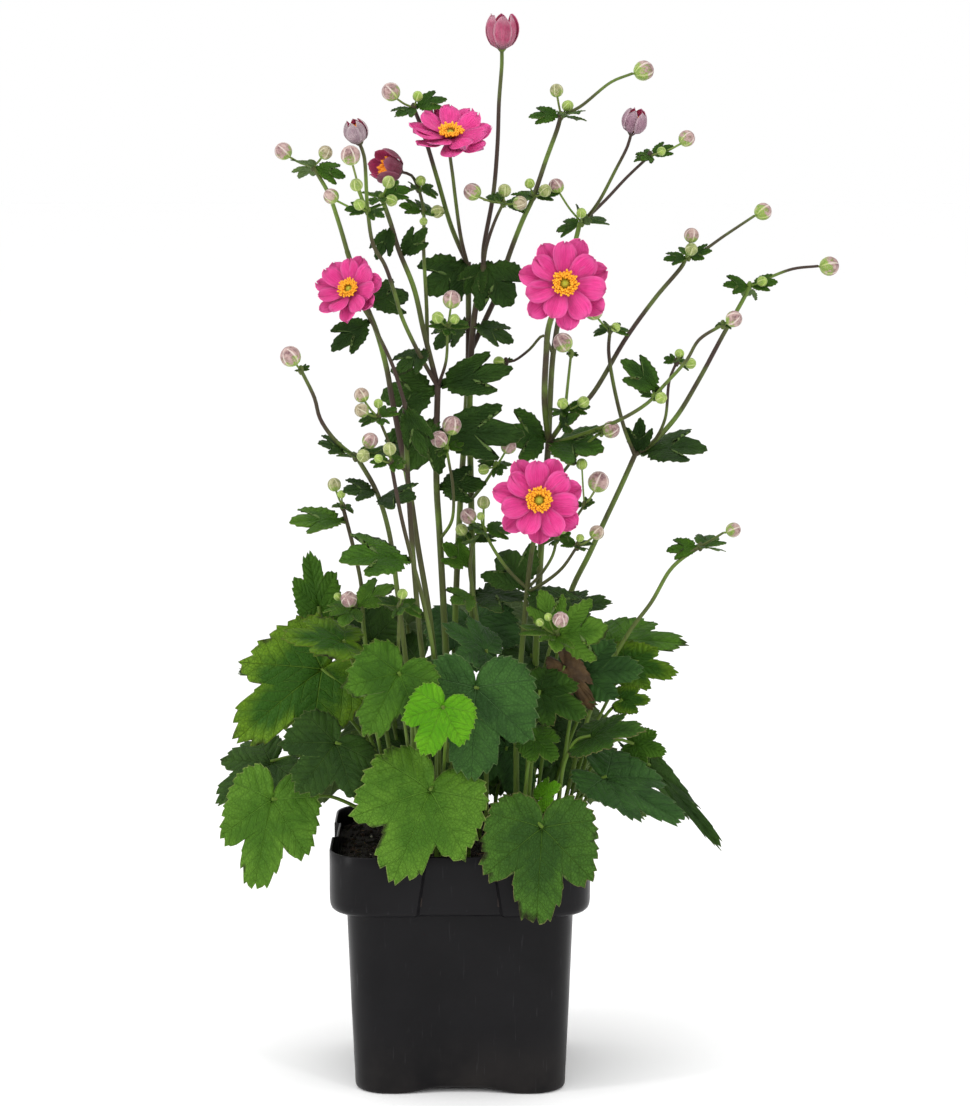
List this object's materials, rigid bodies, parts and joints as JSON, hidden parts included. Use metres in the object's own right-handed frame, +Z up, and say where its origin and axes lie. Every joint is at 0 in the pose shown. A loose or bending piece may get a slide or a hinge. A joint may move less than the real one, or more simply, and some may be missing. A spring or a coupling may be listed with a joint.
{
  "type": "potted japanese anemone",
  "caption": "Japanese anemone in a square black nursery pot: branching flowering stems with pink blooms and round buds over three-lobed toothed leaves.",
  "frame": {"origin": "middle of the pot's flat underside", "axes": "+Z up the plant, -Y towards the front it was pictured from"},
  "size_m": [0.4597, 0.2423, 0.7707],
  "materials": {
    "pot_plastic": "satin",
    "peat": "rough",
    "stem": "satin",
    "leaf": "satin",
    "petal": "matte",
    "stamen": "matte",
    "cup_petal": "matte"
  },
  "bodies": {
    "root": {"pot": "pot_plastic", "soil": "peat", "stem_tall": "stem", "stem_top_bloom": "stem", "stem_thick": "stem", "stem_left": "stem", "stem_left_bloom": "stem", "stem_far_left": "stem", "stem_slender": "stem", "stem_low_left": "stem", "stem_low_centre": "stem", "stem_right_wide": "stem", "stem_far_right": "stem", "stem_arching_right": "stem", "stem_front_bloom": "stem", "stem_low_right": "stem", "stem_mid": "stem", "bloom_top_petals": "petal", "bloom_top_stamens": "stamen", "bloom_left_petals": "petal", "bloom_left_stamens": "stamen", "bloom_right_petals": "petal", "bloom_right_stamens": "stamen", "bloom_front_petals": "petal", "bloom_front_stamens": "stamen", "bloom_tall_cup": "cup_petal", "bloom_dark_cup": "cup_petal", "bloom_pale_left_cup": "cup_petal", "bloom_pale_right_cup": "cup_petal", "leaf_front_left_low": "leaf", "leaf_left_drooping": "leaf", "leaf_front_centre": "leaf", "leaf_front_right": "leaf", "leaf_left_dark": "leaf", "leaf_left_broad": "leaf", "leaf_centre_left": "leaf", "leaf_centre_bright": "leaf", "leaf_centre_dark": "leaf", "leaf_left_upright": "leaf", "leaf_left_upper": "leaf", "leaf_far_left": "leaf", "leaf_left_back": "leaf", "leaf_centre_upper": "leaf", "leaf_right_upper": "leaf", "leaf_right_far_upper": "leaf", "leaf_right_dark": "leaf", "leaf_right_light": "leaf", "leaf_right_small": "leaf", "leaf_right_mid": "leaf", "leaf_right_edge": "leaf", "leaf_right_dark_low": "leaf", "leaf_centre_right_low": "leaf", "leaf_right_drooping": "leaf", "leaf_right_narrow": "leaf", "leaf_soil_bright": "leaf", "leaf_back_left": "leaf", "leaf_back_middle": "leaf", "leaf_back_right": "leaf", "leaf_back_high_left": "leaf", "leaf_back_high_right": "leaf"}
  },
  "joints": []
}
